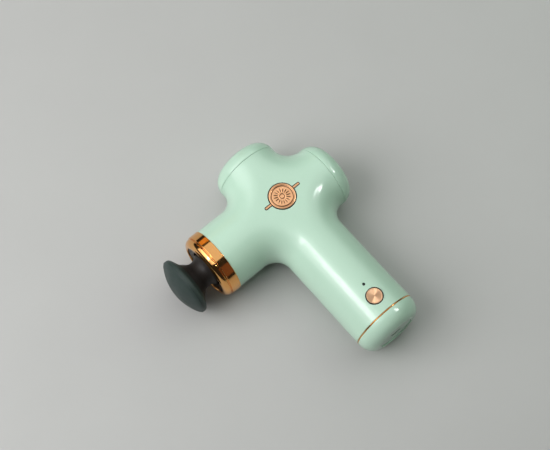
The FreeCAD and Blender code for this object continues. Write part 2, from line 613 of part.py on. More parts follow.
def electronics():
    """The main board with its parts, the switch, the light and the leads from the motor."""
    board = box((-12, 12), (-96.8, -42), BOARD_Z)
    holes = [post(BOARD_SCREW_R + 0.1, x, y, 10, 15) for x, y in BOARD_SCREWS]
    save("main_board", cut(board, *holes))
    top = BOARD_Z[1]
    chips = [((-4, 4), (-66, -58), 1.2), ((5.5, 9.5), (-72, -66), 1.6), ((-10, -6), (-72, -64), 1.6),
             ((-3, 1), (-74, -70), 1.0), ((4, 10), (-58, -52), 3.4), ((-9, -6), (-57, -54), 2.6)]
    save("board_parts", *[box(x, y, (top, top + h)) for x, y, h in chips])
    save("motor_plug", box((-4, 4), (-47, -42.4), (top, top + 3.0)))

    body = cut(box((-3, 3), (BUTTON_Y - 3, BUTTON_Y + 3), (top, top + 2.2)),
               post(1.3, 0, BUTTON_Y, top + 1.0, top + 3))
    save("switch_body", body)
    save("switch_plunger", post(1.2, 0, BUTTON_Y, top + 1.8, 16.2))
    save("led_chip", box((-0.8, 0.8), (LED_Y - 0.6, LED_Y + 0.6), (top, top + 0.7)))
    pipe = fuse(post(LED_R - 0.02, 0, LED_Y, top + 1.0, ARM_R - 0.15), post(1.6, 0, LED_Y, 17.5, 18.6))
    save("led_lens", pipe)

    lead_r = 0.6
    path = [(13.35, -12.0), (13.35, -19.2), (-25.5, -19.2), (-25.5, 14.7), (-42.3, 14.7)]
    save("motor_leads", *[lead(x, path, lead_r, 1.6) for x in (-2.4, 0.0, 2.4)])


def lead(x, path, r, bend):
    """A round wire in the plane at x, along straight runs joined by tangent arcs."""
    points = [V(x, y, z) for y, z in path]
    edges, at = [], points[0]
    for before, corner, after in zip(points, points[1:], points[2:]):
        into = (corner - before).normalize()
        out = (after - corner).normalize()
        radius = min(bend, 0.45 * min((corner - before).Length, (after - corner).Length))
        start, end = corner - into * radius, corner + out * radius
        centre = start + out * radius
        middle = centre + (corner - centre).normalize() * radius
        edges += [Part.LineSegment(at, start).toShape(), Part.Arc(start, middle, end).toShape()]
        at = end
    edges.append(Part.LineSegment(at, points[-1]).toShape())
    first = (points[1] - points[0]).normalize()
    section = Part.Wire([Part.Circle(points[0], first, r).toShape()])
    return Part.Wire(edges).makePipeShell([section], True, True)


def button():
    """The round button, the dark bezel that it moves in and its stem."""
    top = ARM_R + 0.1
    cap = fuse(post(BUTTON_R, 0, BUTTON_Y, 18.0, top), post(6.6, 0, BUTTON_Y, 18.3, 19.3),
               post(1.6, 0, BUTTON_Y, 16.2, 18.5))
    rim = [e for e in cap.Edges if abs(e.BoundBox.ZMin - top) < 1e-6]
    save("power_button", cap.makeChamfer(0.35, rim))
    bezel = cut(post(BEZEL_R[1] - 0.02, 0, BUTTON_Y, 19.9, ARM_R - 0.15),
                post(BEZEL_R[0], 0, BUTTON_Y, 19, 25))
    save("button_bezel", bezel)


# ---- badge --------------------------------------------------------------------------------
def badge():
    """A plain round medallion with a raised rim, a thin bar on each side and a gasket round it."""
    hole = post(BADGE_R - BADGE_RIM, 0, 0, 0, 2 * ARM_R)
    rim = post(BADGE_R, 0, 0, BADGE_FLOOR, ARM_R + RIM_RISE)
    save("badge_rim", cut(fuse(rim, badge_block(0, ARM_R + WING_RISE)), hole))
    save("badge_gasket", cut(badge_block(GASKET, ARM_R), badge_block(0, ARM_R + 1)))
    save("badge_disc", post(BADGE_R - BADGE_RIM - SLIP / 2, 0, 0, BADGE_FLOOR, ARM_R + DISC_RISE))


def main():
    os.makedirs("parts", exist_ok=True)
    for build in (housings, fasteners, lobe_caps, handle_end, nose_parts, drive_frame, motor,
                  crank, piston, massage_head, cells, electronics, button, badge):
        build()


main()
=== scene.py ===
"""The looks of a pocket percussion massager with a cross-shaped body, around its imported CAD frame.

Four arms of one radius meet at a crossing. Lengths in this script are in millimetres from that
crossing, and become metres in the row frame when a piece is made. On an arm, "along" is the
distance from the crossing outwards.
"""

import json
import math
from collections import Counter

import bpy
import numpy as np
from mathutils import Matrix, Vector


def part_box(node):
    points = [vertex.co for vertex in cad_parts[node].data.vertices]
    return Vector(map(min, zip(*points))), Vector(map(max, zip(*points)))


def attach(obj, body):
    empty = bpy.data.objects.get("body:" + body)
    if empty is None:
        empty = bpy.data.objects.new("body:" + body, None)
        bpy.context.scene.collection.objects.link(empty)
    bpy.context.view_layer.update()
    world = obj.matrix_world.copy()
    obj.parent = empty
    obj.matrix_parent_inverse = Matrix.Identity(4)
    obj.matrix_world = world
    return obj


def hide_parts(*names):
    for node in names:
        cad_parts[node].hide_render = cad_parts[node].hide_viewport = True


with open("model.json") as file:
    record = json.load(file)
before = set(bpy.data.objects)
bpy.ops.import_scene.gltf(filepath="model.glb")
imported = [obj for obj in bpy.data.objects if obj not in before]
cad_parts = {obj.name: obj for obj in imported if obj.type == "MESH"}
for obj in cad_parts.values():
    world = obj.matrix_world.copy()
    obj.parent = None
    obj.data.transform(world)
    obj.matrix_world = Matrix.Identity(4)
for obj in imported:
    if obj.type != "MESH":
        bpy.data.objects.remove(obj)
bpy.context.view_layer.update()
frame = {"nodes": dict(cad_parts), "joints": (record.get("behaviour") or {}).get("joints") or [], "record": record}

MM = 0.001
HUB = np.array(next(j["pos_m"] for j in frame["joints"] if j["name"] == "crank_turn"))
ARMS = {"rear": (1, 0, 0), "top": (0, 1, 0), "nose": (-1, 0, 0), "handle": (0, -1, 0)}
UP = (0, 0, 1)


def span(node, axis):
    """Where a CAD node begins and ends along an axis through the crossing."""
    ends = [float((np.array(corner) - HUB) @ np.array(axis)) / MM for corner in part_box(node)]
    return min(ends), max(ends)


ARM_R = span("upper_housing", UP)[1]
ENDS = {arm: span("upper_housing", axis)[1] for arm, axis in ARMS.items()}
WALL = 2.0
CORNER_R = 11.0                 # plan radius of the fillets between the arms
CORNER_AT = ARM_R + CORNER_R    # centre of each corner fillet, from both axes
SEAM = 0.15                     # gap between a cap and the housing
SOFT = 0.18                     # radius of the moulded edges along the seams
SPIGOT_R = ARM_R - WALL - 0.1
SPIGOT_IN_R = SPIGOT_R - 2.0
SLIP = 0.05                     # gap round a piece that sits in a hole

BADGE_AT = np.zeros(2)          # plan places of the badge, the button and the pin-hole light
BUTTON_AT = np.array([0.0, -sum(span("power_button", ARMS["handle"])) / 2])
LED_AT = np.array([0.0, -sum(span("led_lens", ARMS["handle"])) / 2])
BADGE_R = 8.85
GASKET = 0.55                   # width of the dark line round the badge
BADGE_RIM = 1.15
RELIEF = 0.2                    # depth of the badge's grooves
BADGE_HOLE_R = BADGE_R + GASKET + SLIP
BAR_HALF = 0.6                  # half the width of the badge's bars
BAR_FROM, BAR_TO = 9.3, 14.0    # where they begin and end, from the badge's centre
BUTTON_R = 5.2
BUTTON_FLANGE_R = 6.6
BEZEL_R = (5.25, 5.78)
BUTTON_HOLE_R = 5.8
LED_FLANGE_R = 1.6
LED_HOLE_R = 1.0
WELL_R = 2.9                    # screw wells on the far side
WELLS = [np.array([sx, sy]) * 19.0 for sx in (1, -1) for sy in (1, -1)]


# ---- meshes -------------------------------------------------------------------------------
def unit(v):
    v = np.asarray(v, float)
    return v / np.linalg.norm(v)


def piece(name, points, faces, normals, look, body, *nodes):
    """A mesh with exact corner normals, which rides on a body and stands for CAD nodes."""
    points = np.asarray(points, float)
    turned, corner_normals = [], []
    for face, ns in zip(faces, normals):
        p = points[list(face)]
        area = sum(np.cross(p[i] - p[0], p[i + 1] - p[0]) for i in range(1, len(face) - 1))
        if area @ sum(ns) < 0:
            face, ns = face[::-1], ns[::-1]
        turned.append(face)
        corner_normals.extend(ns)
    mesh = bpy.data.meshes.new(name)
    mesh.from_pydata((HUB + points * MM).tolist(), [], turned)
    mesh.polygons.foreach_set("use_smooth", [True] * len(turned))
    mesh.normals_split_custom_set([tuple(unit(n)) for n in corner_normals])
    mesh.validate()
    made = bpy.data.objects.new(name, mesh)
    bpy.context.scene.collection.objects.link(made)
    made.data.materials.append(LOOKS[look])
    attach(made, body)
    if nodes:
        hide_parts(*nodes)
    return made


def arc_run(start, through, end, step=7.5, chord=1.2):
    """Points and outward-from-centre directions along the arc through three points."""
    a, b = through - start, end - start
    d = 2 * (a[0] * b[1] - a[1] * b[0])
    aa, bb = a @ a, b @ b
    centre = start + np.array([b[1] * aa - a[1] * bb, a[0] * bb - b[0] * aa]) / d
    t0, tm, t1 = (math.atan2(*(p - centre)[::-1]) for p in (start, through, end))
    sweep, middle = (t1 - t0) % math.tau, (tm - t0) % math.tau
    if middle > sweep:
        sweep -= math.tau
    radius = math.dist(start, centre)
    count = max(2, math.ceil(abs(sweep) / math.radians(step)), math.ceil(radius * abs(sweep) / chord))
    turns = t0 + sweep * np.arange(count + 1) / count
    out = np.stack([np.cos(turns), np.sin(turns)], 1)
    return centre + radius * out, out * np.sign(sweep)


def line_run(start, end):
    d = unit(end - start)
    return np.array([start, end]), np.array([[d[1], -d[0]]] * 2)


def outline(items):
    """A closed outline in the (along, radius) plane, as runs of points and outward normals.

    An item is a corner (a, r), a rounded corner (a, r, radius), or an arc from the item before:
    ((a, r) on it, (a, r) at its end).
    """
    knots = [(np.array(i[1], float), np.array(i[0], float), 0.0) if isinstance(i[0], tuple)
             else (np.array(i[:2], float), None, i[2] if len(i) > 2 else 0.0) for i in items]
    leave, arrive, rounds = [], [], []
    for k, (p, _, radius) in enumerate(knots):
        if radius:
            u, v = unit(knots[k - 1][0] - p), unit(knots[(k + 1) % len(knots)][0] - p)
            half = math.acos(max(-1.0, min(1.0, u @ v))) / 2
            trim = radius / math.tan(half)
            middle = p + unit(u + v) * (radius / math.sin(half) - radius)
            arrive.append(p + u * trim)
            leave.append(p + v * trim)
            rounds.append(arc_run(arrive[-1], middle, leave[-1], 15))
        else:
            arrive.append(p)
            leave.append(p)
            rounds.append(None)
    runs = []
    for k in range(len(knots)):
        if rounds[k]:
            runs.append(rounds[k])
        after = (k + 1) % len(knots)
        start, end, through = leave[k], arrive[after], knots[after][1]
        if math.dist(start, end) > 1e-6 and max(start[1], end[1]) > 1e-6:
            runs.append(line_run(start, end) if through is None else arc_run(start, through, end))
    loop = np.concatenate([points for points, _ in runs])
    area = np.sum(loop[:, 0] * np.roll(loop[:, 1], -1) - np.roll(loop[:, 0], -1) * loop[:, 1])
    runs = [(points, normals * np.sign(area)) for points, normals in runs]
    for before, now in zip(runs, runs[1:] + runs[:1]):
        joined = math.dist(before[0][-1], now[0][0]) < 1e-6
        if joined and before[1][-1] @ now[1][0] > math.cos(math.radians(35)):
            before[1][-1] = now[1][0] = unit(before[1][-1] + now[1][0])
    return runs


def rings(runs):
    """Points, faces and corner normals between closed rows; rows at one place are welded.

    A run is a list of rows (points, normals) that is smooth from row to row. A row of a single
    point is a pole, with a normal for each point of the row beside it.
    """
    points, faces, normals, seen = [], [], [], {}

    def first(spots):
        key = (*(round(float(c), 5) for c in spots[0]), len(spots))
        if key not in seen:
            seen[key] = len(points)
            points.extend(spots)
        return seen[key]

    for run in runs:
        for (low, n), (high, m) in zip(run, run[1:]):
            a, b = first(low), first(high)
            around = max(len(low), len(high))
            for j in range(around):
                k = (j + 1) % around
                if len(low) == 1:
                    faces.append((a, b + k, b + j))
                    normals.append([n[j], m[k], m[j]])
                elif len(high) == 1:
                    faces.append((a + j, a + k, b))
                    normals.append([n[j], n[k], m[j]])
                else:
                    faces.append((a + j, a + k, b + k, b + j))
                    normals.append([n[j], n[k], m[k], m[j]])
    return points, faces, normals


def spokes_about(axis, around):
    """Unit vectors round an axis."""
    side = np.array((1.0, 0, 0) if abs(axis[2]) > 0.5 else (0, 0, 1.0))
    turns = np.arange(around) * math.tau / around
    return np.cos(turns)[:, None] * side + np.sin(turns)[:, None] * np.cross(axis, side)


def lathe(name, items, axis, look, body, *nodes, at=(0, 0, 0), around=128):
    """A piece turned about an axis through a point, from an outline."""
    axis = np.array(axis, float)
    spokes = spokes_about(axis, around)

    def row(p, n):
        spots = np.array(at) + axis * p[0] + spokes * p[1]
        return spots[:1] if p[1] < 1e-6 else spots, axis * n[0] + spokes * n[1]

    runs = [[row(p, n) for p, n in zip(run, outs)] for run, outs in outline(items)]
    return piece(name, *rings(runs), look, body, *nodes)


# ---- the two halves of the housing --------------------------------------------------------
STEPS = 24                      # quads in a quarter of an arm's section, and in a corner's turn


def surface(x, y, radius):
    """Point and normal of the cross's upper skin above a plan point."""
    sx, sy = math.copysign(1, x), math.copysign(1, y)
    ax, ay = abs(x), abs(y)
    if ax < CORNER_AT and ay < CORNER_AT:
        away = math.hypot(CORNER_AT - ax, CORNER_AT - ay)
        fall = max(0.0, CORNER_AT - away)
        lean = (sx * (CORNER_AT - ax) / away, sy * (CORNER_AT - ay) / away)
    else:
        fall, lean = (ay, (0.0, sy)) if ax >= CORNER_AT else (ax, (sx, 0.0))
    height = math.sqrt(max(0.0, radius ** 2 - fall ** 2))
    return (x, y, height), (lean[0] * fall / radius, lean[1] * fall / radius, height / radius)


class Skin:
    """Quads of one surface, welded where their corners meet."""

    def __init__(self, radius):
        self.radius = radius
        self.points, self.normals, self.faces, self.seen = [], [], [], {}

    def vertex(self, spot):
        key = tuple(round(float(c), 4) for c in spot[0])
        if key not in self.seen:
            self.seen[key] = len(self.points)
            self.points.append(np.array(spot[0], float))
            self.normals.append(unit(spot[1]))
        return self.seen[key]

    def strip(self, one, two):
        """Quads between two rows of vertices."""
        for a, b, c, d in zip(one, one[1:], two[1:], two):
            self.faces.append((a, b, c, d))

    def grid(self, rows, windows=()):
        """Quads between rows of points, with round holes in some windows of cells."""
        rows = [[self.vertex(spot) for spot in row] for row in rows]
        for i in range(len(rows) - 1):
            for j in range(len(rows[0]) - 1):
                if not any(w[0] <= i < w[1] and w[2] <= j < w[3] for w in windows):
                    self.strip(rows[i][j:j + 2], rows[i + 1][j:j + 2])
        for i0, i1, j0, j1, centre, hole in windows:
            edge = rows[i0][j0:j1] + [rows[i][j1] for i in range(i0, i1)]
            edge += rows[i1][j1:j0:-1] + [rows[i][j0] for i in range(i1, i0, -1)]
            self.to_circle(edge, centre, hole)

    def to_circle(self, edge, centre, hole, rings=4):
        """Rings of quads from a closed row of vertices to a round hole."""
        plan = np.array([self.points[v][:2] for v in edge])
        circle = np.array([centre + hole * unit(p - centre) for p in plan])
        before = edge
        for k in range(1, rings + 1):
            spots = plan + (circle - plan) * (k / rings)
            now = [self.vertex(surface(x, y, self.radius)) for x, y in spots]
            self.strip(before + before[:1], now + now[:1])
            before = now


def corner_rows(radius, sx, sy):
    """The skin over one corner fillet, from the wall up to the crossing's flat."""
    rows = []
    for i in range(STEPS + 1):
        climb = math.radians(90 * i / STEPS)
        away = CORNER_AT - radius * math.cos(climb)
        row = []
        for j in range(STEPS + 1):
            turn = math.radians(90 * j / STEPS)
            lean_x, lean_y = sx * math.cos(turn), sy * math.sin(turn)
            spot = (sx * CORNER_AT - away * lean_x, sy * CORNER_AT - away * lean_y, radius * math.sin(climb))
            row.append((spot, (lean_x * math.cos(climb), lean_y * math.cos(climb), math.sin(climb))))
        rows.append(row)
    return rows


def arm_rows(radius, arm, stops):
    """The skin over one arm, outwards from the crossing."""
    out = np.array(ARMS[arm], float)
    across = np.cross(UP, out)
    rows = []
    for along in stops:
        row = []
        for k in range(-STEPS, STEPS + 1):
            turn = math.radians(90 * k / STEPS)
            normal = across * math.sin(turn) + np.array(UP) * math.cos(turn)
            row.append((out * along + normal * radius, normal))
        rows.append(row)
    return rows


def flat_star(skin, hole_r, filled):
    """The flat of the crossing, from the four corner fillets in to a circle, or to the middle."""
    edge, circle = [], []
    for quarter in range(4):
        sx, sy = ((1, 1), (1, -1), (-1, -1), (-1, 1))[quarter]
        for j in range(STEPS):
            turn = math.radians(90 * j / STEPS)
            if sx * sy < 0:
                turn = math.pi / 2 - turn
            edge.append((sx * CORNER_AT * (1 - math.cos(turn)), sy * CORNER_AT * (1 - math.sin(turn))))
            circle.append((sx * hole_r * math.sin(turn), sy * hole_r * math.cos(turn)))
    edge, circle = np.array(edge), np.array(circle)
    flat = lambda p: ((p[0], p[1], skin.radius), UP)
    before = [skin.vertex(flat(p)) for p in edge]
    for k in range(1, 8):
        now = [skin.vertex(flat(p)) for p in edge + (circle - edge) * (k / 7)]
        skin.strip(before + before[:1], now + now[:1])
        before = now
    if not filled:
        return
    half = hole_r * 0.6
    side = np.linspace(-half, half, STEPS + 1)
    square = [(x, half) for x in side[STEPS // 2:]] + [(half, y) for y in side[::-1][1:]]
    square += [(x, -half) for x in side[::-1][1:]] + [(-half, y) for y in side[1:]]
    square += [(x, half) for x in side[1:STEPS // 2]]
    square = np.array(square)
    for k in range(1, 4):
        now = [skin.vertex(flat(p)) for p in circle + (square - circle) * (k / 3)]
        skin.strip(before + before[:1], now + now[:1])
        before = now
    skin.grid([[flat((x, y)) for x in side] for y in side])


def half_skin(radius, upper):
    """One half of the cross at a radius: the outside, or the inside at the wall's depth."""
    skin = Skin(radius)
    for well in WELLS:
        skin.grid(corner_rows(radius, *np.sign(well)), [] if upper else [(9, 20, 8, 16, well, WELL_R)])
    for arm in ("rear", "top", "nose"):
        count = max(1, round((ENDS[arm] - CORNER_AT) / 1.8))
        skin.grid(arm_rows(radius, arm, np.linspace(CORNER_AT, ENDS[arm], count + 1)))
    led, button, middle = -LED_AT[1], -BUTTON_AT[1], STEPS
    stops = np.concatenate([np.linspace(CORNER_AT, led - 2.2, 25), np.linspace(led - 2.2, led + 2.2, 5)[1:],
                            np.linspace(led + 2.2, button + 7.8, 13)[1:],
                            np.linspace(button + 7.8, ENDS["handle"], 4)[1:]])
    holes = [(24, 28, middle - 2, middle + 2, LED_AT, LED_HOLE_R),
             (28, 40, middle - 6, middle + 6, BUTTON_AT, BUTTON_HOLE_R)]
    skin.grid(arm_rows(radius, "handle", stops), holes if upper else [])
    flat_star(skin, BADGE_HOLE_R, not upper)
    return skin


def opening(p, q, holes):
    """Which way the wall opens at an edge of the skin: a direction, or a round hole's centre."""
    if abs(p[2]) < 1e-6 and abs(q[2]) < 1e-6:
        return "way", np.array([0.0, 0, -1])
    for arm, axis in ARMS.items():
        if min(p @ np.array(axis), q @ np.array(axis)) > ENDS[arm] - 1e-4:
            return "way", np.array(axis, float)
    return "hole", min(holes, key=lambda c: math.dist(c, p[:2]))


def half_shell(name, upper, node):
    """A closed half shell: an outer skin, an inner skin and rounded edges between them."""
    outer, inner = half_skin(ARM_R, upper), half_skin(ARM_R - WALL, upper)
    assert outer.faces == inner.faces
    holes = [BADGE_AT, BUTTON_AT, LED_AT] if upper else WELLS
    count = len(outer.points)
    points = outer.points + inner.points
    faces = outer.faces + [tuple(v + count for v in f) for f in outer.faces]
    normals = [[outer.normals[v] for v in f] for f in outer.faces]
    normals += [[-inner.normals[v] for v in f] for f in outer.faces]

    uses = Counter((min(a, b), max(a, b)) for f in outer.faces for a, b in zip(f, f[1:] + f[:1]))
    edges = {(a, b): opening(outer.points[a], outer.points[b], holes) for (a, b), n in uses.items() if n == 1}

    def way(edge_kind, v):
        kind, value = edge_kind
        return value if kind == "way" else np.append(unit(value - outer.points[v][:2]), 0.0)

    ways, upright = {}, set()
    for e, kind in edges.items():
        for v in e:
            w = way(kind, v)
            if kind[0] == "hole":
                upright.add(v)
            if not any(np.allclose(w, other, atol=1e-3) for other in ways.setdefault(v, [])):
                ways[v].append(w)

    def rounding(v, skin, sign, radius, turns):
        """Points and leaning of the rounded edge at a vertex, from the skin to the edge's face."""
        p, n = skin.points[v], skin.normals[v]
        down = np.array([0.0, 0, -sign]) if v in upright else -sign * n
        back = sum(unit(-(w - (w @ n) * n)) for w in ways[v])
        made = [p + radius * (back * (1 - math.sin(t)) + down * (1 - math.cos(t))) for t in turns]
        return made, [(sign * n * math.cos(t), math.sin(t)) for t in turns]

    rails = {}
    outer_turns = [math.radians(t) for t in (0, 30, 60, 90)]
    inner_turns = [math.radians(t) for t in (90, 45, 0)]
    for v in ways:
        one, lean_one = rounding(v, outer, 1, SOFT, outer_turns)
        two, lean_two = rounding(v, inner, -1, 0.1, inner_turns)
        points[v], points[v + count] = one[0], two[-1]
        first = len(points)
        points += one[1:] + two[:-1]
        rails[v] = ([v] + list(range(first, len(points))) + [v + count], lean_one + lean_two)
    for (a, b), kind in edges.items():
        (rail_a, lean_a), (rail_b, lean_b) = rails[a], rails[b]
        wa, wb = way(kind, a), way(kind, b)
        for k in range(len(rail_a) - 1):
            faces.append((rail_a[k], rail_b[k], rail_b[k + 1], rail_a[k + 1]))
            normals.append([lean[i][0] + w * lean[i][1] for lean, w, i in
                            ((lean_a, wa, k), (lean_b, wb, k), (lean_b, wb, k + 1), (lean_a, wa, k + 1))])
    if not upper:
        flip = np.array([1.0, 1, -1])
        points = [p * flip for p in points]
        normals = [[n * flip for n in ns] for ns in normals]
    return piece(name, points, faces, normals, "mint_shell", "housing", node)


def plugs():
    """The four plugs over the screws on the far side, level with the skin."""
    radius, steps, around = WELL_R - SLIP, 5, 32
    floor = -span("screw_plugs", (0, 0, -1))[0]
    up, mirror = np.array(UP, float), np.array([1.0, 1.0, -1.0])
    spokes = spokes_about(up, around)

    def row(well, reach):
        spots = [surface(*(well + reach * d[:2]), ARM_R) for d in spokes]
        points, outs = (np.array(part) * mirror for part in zip(*spots))
        return (points if reach else points[:1]), outs

    runs = []
    for well in WELLS:
        rim, outs = row(well, radius)
        soft = np.array([unit(n + d) for n, d in zip(outs, spokes)])
        base = np.column_stack([rim[:, :2], np.full(around, floor)])
        face = [row(well, radius * k / steps) for k in range(steps)]
        runs.append([*face, (rim - spokes * SOFT, outs), (rim + (up - spokes) * SOFT * 0.3, soft),
                     (rim + up * SOFT, spokes), (base, spokes)])
        runs.append([(base, [up] * around), ([np.append(well, floor)], [up] * around)])
    return piece("screw_plugs_fine", *rings(runs), "mint_shell", "housing", "screw_plugs")


# ---- turned pieces ------------------------------------------------------------------------
def crown(start, tip, edge_r, corner_r):
    """Two tangent arcs of a cap's outline: a round corner, then a shallow crown to the axis."""
    rise, inset = tip - start, edge_r - corner_r
    crown_r = (rise ** 2 + inset ** 2 - corner_r ** 2) / (2 * (rise - corner_r))
    meet = math.asin(inset / (crown_r - corner_r))
    on = lambda t: (start + corner_r * math.cos(t), inset + corner_r * math.sin(t))
    middle = (tip - crown_r * (1 - math.cos(meet / 2)), crown_r * math.sin(meet / 2))
    return (start, edge_r), on((meet + math.pi / 2) / 2), on(meet), middle, (tip, 0.0)


def lobe(arm, node):
    """A lobe's domed cap."""
    back, tip = span(node, ARMS[arm])
    start = ENDS[arm] + SEAM
    a, b, c, d, e = crown(start + 0.4, tip, ARM_R, 9.6)
    f, g, h, i, j = crown(start, tip - WALL, SPIGOT_IN_R, 7.6)
    lathe(f"{arm}_lobe", [(back, SPIGOT_IN_R), (back, SPIGOT_R, 0.3), (start, SPIGOT_R), (start, ARM_R, SOFT),
                          a, (b, c), (d, e), j, (i, h), (g, f)], ARMS[arm], "mint_shell", "housing", node)


def oval(start, tip, edge_r, flat_r, count=12):
    """Points of a quarter ellipse from an arm's side to a flat end."""
    turns = [math.radians(90 * k / count) for k in range(count + 1)]
    return [(start + (tip - start) * math.sin(t), flat_r + (edge_r - flat_r) * math.cos(t)) for t in turns]


def handle_end():
    """The handle's cap with its sunk end, and the thin metal ring behind it."""
    arm = ARMS["handle"]
    back, tip = span("handle_cap", arm)
    ring_from, ring_to = span("handle_ring", arm)
    plate_from, _ = span("handle_end_plate", arm)
    flat_r, recess_r, bore_r = 13.3, 12.65, 9.6
    at = oval(ring_to + 0.4, tip, ARM_R, flat_r)
    into = oval(ring_to, tip - WALL, SPIGOT_IN_R, flat_r - WALL)
    outside = [at[0]] + [(at[k + 1], at[k + 2]) for k in range(0, 12, 2)]
    inside = [into[12]] + [(into[k - 1], into[k - 2]) for k in range(12, 0, -2)]
    lathe("end_cap", [
        (back, SPIGOT_IN_R), (back, SPIGOT_R, 0.3), (ring_to, SPIGOT_R), (ring_to, ARM_R, SOFT), *outside,
        (tip, recess_r, 0.25), (plate_from, recess_r), (plate_from, bore_r), (plate_from - 1.6, bore_r),
        *inside], arm, "mint_shell", "housing", "handle_cap")
    bead = span("handle_ring", UP)[1]
    middle = (ring_from + ring_to) / 2
    lathe("trim_ring", [
        (ring_from, SPIGOT_R + 0.1), (ring_from, bead - 0.5, 0.05), (ring_from + 0.1, bead - 0.45),
        ((middle, bead), (ring_to - 0.1, bead - 0.45)), (ring_to, bead - 0.5, 0.05),
        (ring_to, SPIGOT_R + 0.1)], arm, "rose_gold", "housing", "handle_ring",
        around=192)


def nose():
    """The polished ring, the black collar inside it and the soft head."""
    arm = ARMS["nose"]
    back, front = span("nose_ring", arm)
    radius = span("nose_ring", UP)[1]
    shoulder, seat, bore_r = ENDS["nose"], 57.6, 17.6
    groove, floor_r = front - 4.9, radius - 1.3
    lathe("ring_polished", [
        (back, SPIGOT_IN_R), (back, SPIGOT_R, 0.3), (shoulder, SPIGOT_R), (shoulder, radius, 0.3),
        (groove, radius, 0.4), (groove + 0.1, floor_r, 0.1), (groove + 0.6, floor_r),
        ((groove + 0.9, radius - 0.72), (groove + 1.5, radius - 0.66)),
        ((front - 1.2, radius - 1.9), (front, radius - 4.6)),
        ((front - 0.25, radius - 5.15), (front - 0.8, radius - 5.35)),
        (seat, bore_r), (seat, SPIGOT_IN_R)], arm, "rose_gold", "housing", "nose_ring", around=256)

    back, front = span("nose_collar", arm)
    rear_r, outer_r, mouth_r = SPIGOT_IN_R - 0.1, bore_r - 0.1, 8.6
    lathe("collar", [
        (back, mouth_r), (back, rear_r, 0.2), (seat - 0.1, rear_r, 0.2), (seat - 0.1, outer_r),
        (front + 0.7, outer_r, 0.1), (front + 0.5, 16.0, 0.4), (front, 13.0, 0.4), (59.6, 12.8),
        ((58.8, 11.4), (58.4, mouth_r))], arm, "black_plastic", "housing", "nose_collar")

    base, tip = span("head_pad", arm)
    flange_r, neck_r, head_r, rim_r = 11.6, 9.3, 20.2, 18.9
    core_r, core_plate_r, stem_r = 9.6, 13.0, 6.0
    rim = tip - 5.5
    face_r = (rim_r ** 2 + (tip - rim) ** 2) / (2 * (tip - rim))
    half = math.asin(rim_r / face_r) / 2
    lathe("head_soft", [
        (base, core_r), (base, flange_r, 0.5), (base + 1.2, flange_r - 0.1),
        ((base + 5.8, neck_r), (base + 10.6, 11.6)), ((tip - 13.7, 13.2), (tip - 12.1, 15.8)),
        ((tip - 11.1, 17.8), (tip - 10.3, 19.2)), ((tip - 9.1, head_r - 0.1), (tip - 7.9, head_r)),
        (tip - 7.1, head_r - 0.08), (tip - 7.0, head_r + 0.06, 0.06), (tip - 6.8, head_r, 0.06),
        (tip - 6.75, head_r - 0.2), ((tip - 6.1, 19.5), (rim, rim_r)),
        ((tip - face_r * (1 - math.cos(half)), face_r * math.sin(half)), (tip, 0)),
        (tip - 7.9, 0), (tip - 7.9, core_plate_r), (tip - 10.3, core_plate_r), (tip - 10.3, stem_r),
        (base + 1.4, stem_r), (base + 1.4, core_r)], arm, "silicone", "head", "head_pad", around=160)


def controls():
    """The button, its bezel and the pin-hole light."""
    at = (*BUTTON_AT, 0)
    low, top = span("power_button", UP)
    face = top - 0.02
    lathe("button", [
        (low, 0), (low, 1.6, 0.2), (18.3, 1.6), (18.3, BUTTON_FLANGE_R, 0.2), (19.3, BUTTON_FLANGE_R, 0.2),
        (19.3, BUTTON_R), (face, BUTTON_R, 0.3), (face, 4.6, 0.25), (top - 0.12, 4.4, 0.25), (face, 0)],
        UP, "rose_gold_spun", "button", "power_button", at=at, around=96)
    low, top = span("button_bezel", UP)
    inner, outer = BEZEL_R
    lathe("bezel", [(low, inner), (low, outer, 0.1), (top, outer, 0.1), (top, inner, 0.1)],
          UP, "black_plastic", "housing", "button_bezel", at=at, around=96)
    low, top = span("led_lens", UP)
    pipe_r, lens_r = 0.88, LED_HOLE_R - 0.03
    lathe("light", [
        (low, 0), (low, pipe_r), (17.5, pipe_r), (17.5, LED_FLANGE_R, 0.1), (18.6, LED_FLANGE_R, 0.1),
        (18.6, lens_r), (top - 0.2, lens_r, 0.1), (top - 0.2, 0.45), ((top - 0.1, 0.25), (top - 0.05, 0))],
        UP, "light_pipe", "housing", "led_lens", at=(*LED_AT, 0), around=48)


# ---- badge --------------------------------------------------------------------------------
def badge():
    """A medallion with a plain sunburst in low relief, a raised rim and a thin bar on each side."""
    low, top = span("badge_rim", UP)
    lathe("badge_edge", [
        (low, BADGE_R - 1.1), (low, BADGE_R), (ARM_R, BADGE_R), (top - 0.1, BADGE_R - 0.1, 0.2),
        (top, BADGE_R - 0.45, 0.3), (top - 0.12, BADGE_R - 1.0, 0.2), (low, BADGE_R - 1.1)],
        UP, "rose_gold_satin", "housing", "badge_rim", around=160)
    gasket()
    relief()


def sunburst(r, turn):
    """Depth of the engraving, from 0 to 1: two ring grooves, and sixteen rays between them."""
    groove = lambda off, width: math.exp(-(off / width) ** 4)
    rays = groove((r - 4.15) / 1.5, 1.0) * groove(math.sin(8 * turn) * r / 8, 0.26) if 2.3 < r < 6.3 else 0.0
    return max(groove(r - 1.55, 0.26), groove(r - 7.05, 0.28), rays)


